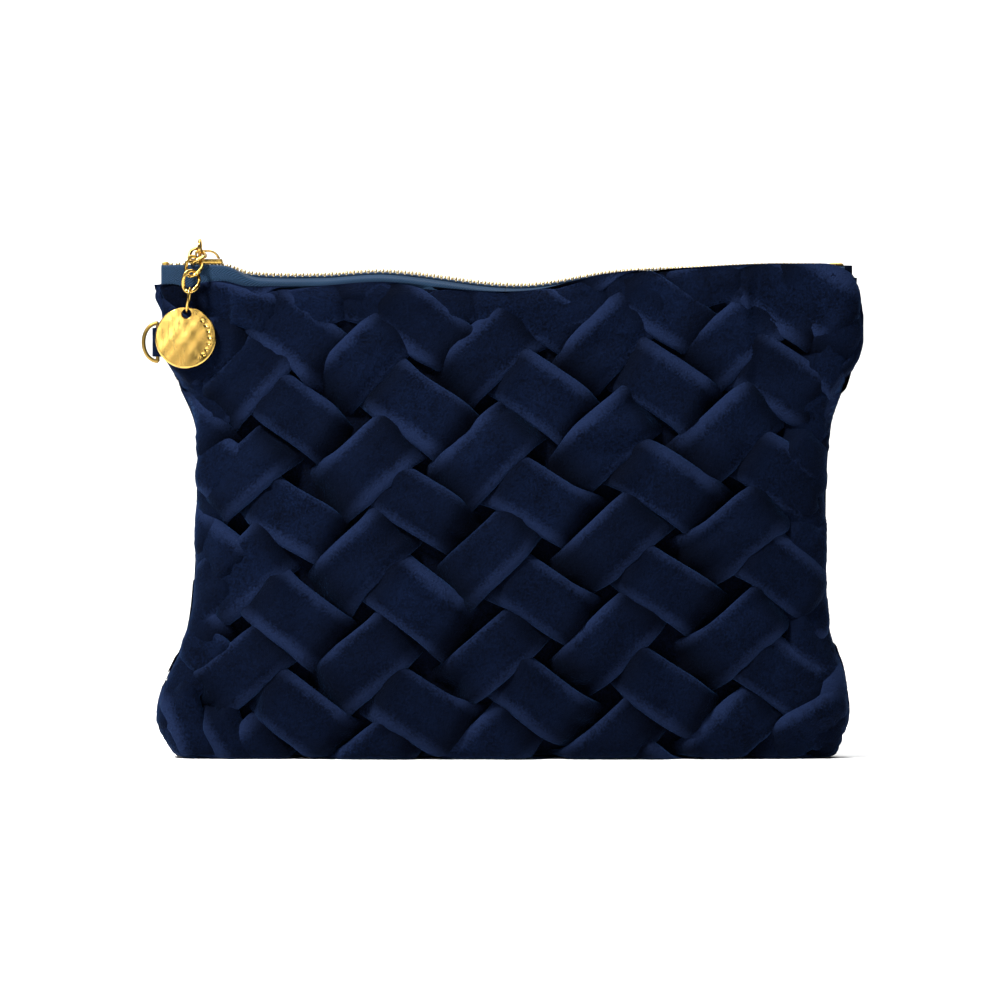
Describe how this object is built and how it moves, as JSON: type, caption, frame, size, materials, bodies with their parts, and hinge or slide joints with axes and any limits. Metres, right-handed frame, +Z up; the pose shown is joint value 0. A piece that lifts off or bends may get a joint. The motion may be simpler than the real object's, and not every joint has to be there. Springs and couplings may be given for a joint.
{
  "type": "zippered pouch",
  "caption": "Small velvet zippered pouch with a lattice-smocked face, a brass zip along the top, a short chain with a round charm on the slider and a D-ring on the side.",
  "frame": {"origin": "on the base plane, under the middle of the pouch's length and depth", "axes": "+Z up; -Y out of the front face; +X to the right of someone who looks at the front, from the zip's start to its end"},
  "size_m": [0.229, 0.0428, 0.1658],
  "materials": {
    "velvet": "cut-pile velvet, folded into a woven-looking lattice",
    "wadding": "soft white wadding",
    "lining": "smooth satin-weave lining",
    "zip_tape": "herringbone-woven tape",
    "brass": "polished, gold coloured"
  },
  "bodies": {
    "root": {"back_panel": "velvet", "back_wadding": "wadding", "back_lining": "lining", "back_zip_tape": "zip_tape", "back_teeth": "brass", "front_top_stop": "brass", "back_top_stop": "brass", "bottom_stop": "brass", "side_tab": "velvet"},
    "front_wall": {"front_panel": "velvet", "front_wadding": "wadding", "front_lining": "lining", "front_zip_tape": "zip_tape", "front_teeth": "brass"},
    "slider": {"slider_body": "brass", "slider_bridge": "brass"},
    "pull_ring": {"pull_ring": "brass"},
    "chain_link_1": {"chain_link_1": "brass"},
    "chain_link_2": {"chain_link_2": "brass"},
    "chain_link_3": {"chain_link_3": "brass"},
    "jump_ring": {"jump_ring": "brass"},
    "charm": {"charm": "brass"},
    "d_ring": {"d_ring": "brass"}
  },
  "joints": [
    {"name": "slider_travel", "type": "slide", "parent": "root", "child": "slider", "axis": [1, 0, 0], "range_m": [0, 0.192], "deforming": ["back_zip_tape", "back_teeth"]},
    {"name": "mouth_opening", "type": "hinge", "parent": "root", "child": "front_wall", "pos_m": [0, -0.012, 0.0005], "axis": [1, 0, 0], "range_deg": [0, 11], "deforming": ["front_panel", "front_wadding", "front_lining", "front_zip_tape", "front_teeth"]},
    {"name": "ring_swing", "type": "hinge", "parent": "slider", "child": "pull_ring", "pos_m": [-0.09575, 0, 0.16008], "axis": [1, 0, 0], "range_deg": [-12, 0]},
    {"name": "link_1_swing", "type": "hinge", "parent": "pull_ring", "child": "chain_link_1", "pos_m": [-0.09575, -0.0008, 0.16255], "axis": [1, 0, 0], "range_deg": [-30, 0]},
    {"name": "link_2_swing", "type": "hinge", "parent": "chain_link_1", "child": "chain_link_2", "pos_m": [-0.09696, -0.00708, 0.15807], "axis": [1, 0, 0], "range_deg": [-40, 0]},
    {"name": "link_3_swing", "type": "hinge", "parent": "chain_link_2", "child": "chain_link_3", "pos_m": [-0.09769, -0.00919, 0.15333], "axis": [1, 0, 0], "range_deg": [-30, 0]},
    {"name": "jump_ring_swing", "type": "hinge", "parent": "chain_link_3", "child": "jump_ring", "pos_m": [-0.09842, -0.01009, 0.14822], "axis": [1, 0, 0], "range_deg": [-60, 0]},
    {"name": "charm_swing", "type": "hinge", "parent": "jump_ring", "child": "charm", "pos_m": [-0.0993, -0.01009, 0.14192], "axis": [1, 0, 0], "range_deg": [-20, 0]},
    {"name": "d_ring_turn", "type": "hinge", "parent": "root", "child": "d_ring", "pos_m": [-0.10925, 0, 0.1327], "axis": [0, 0, 1], "range_deg": [-60, 60]}
  ],
  "couplings": [
    {"joint": "mouth_opening", "follows": "slider_travel", "rad_per_m": 1}
  ]
}
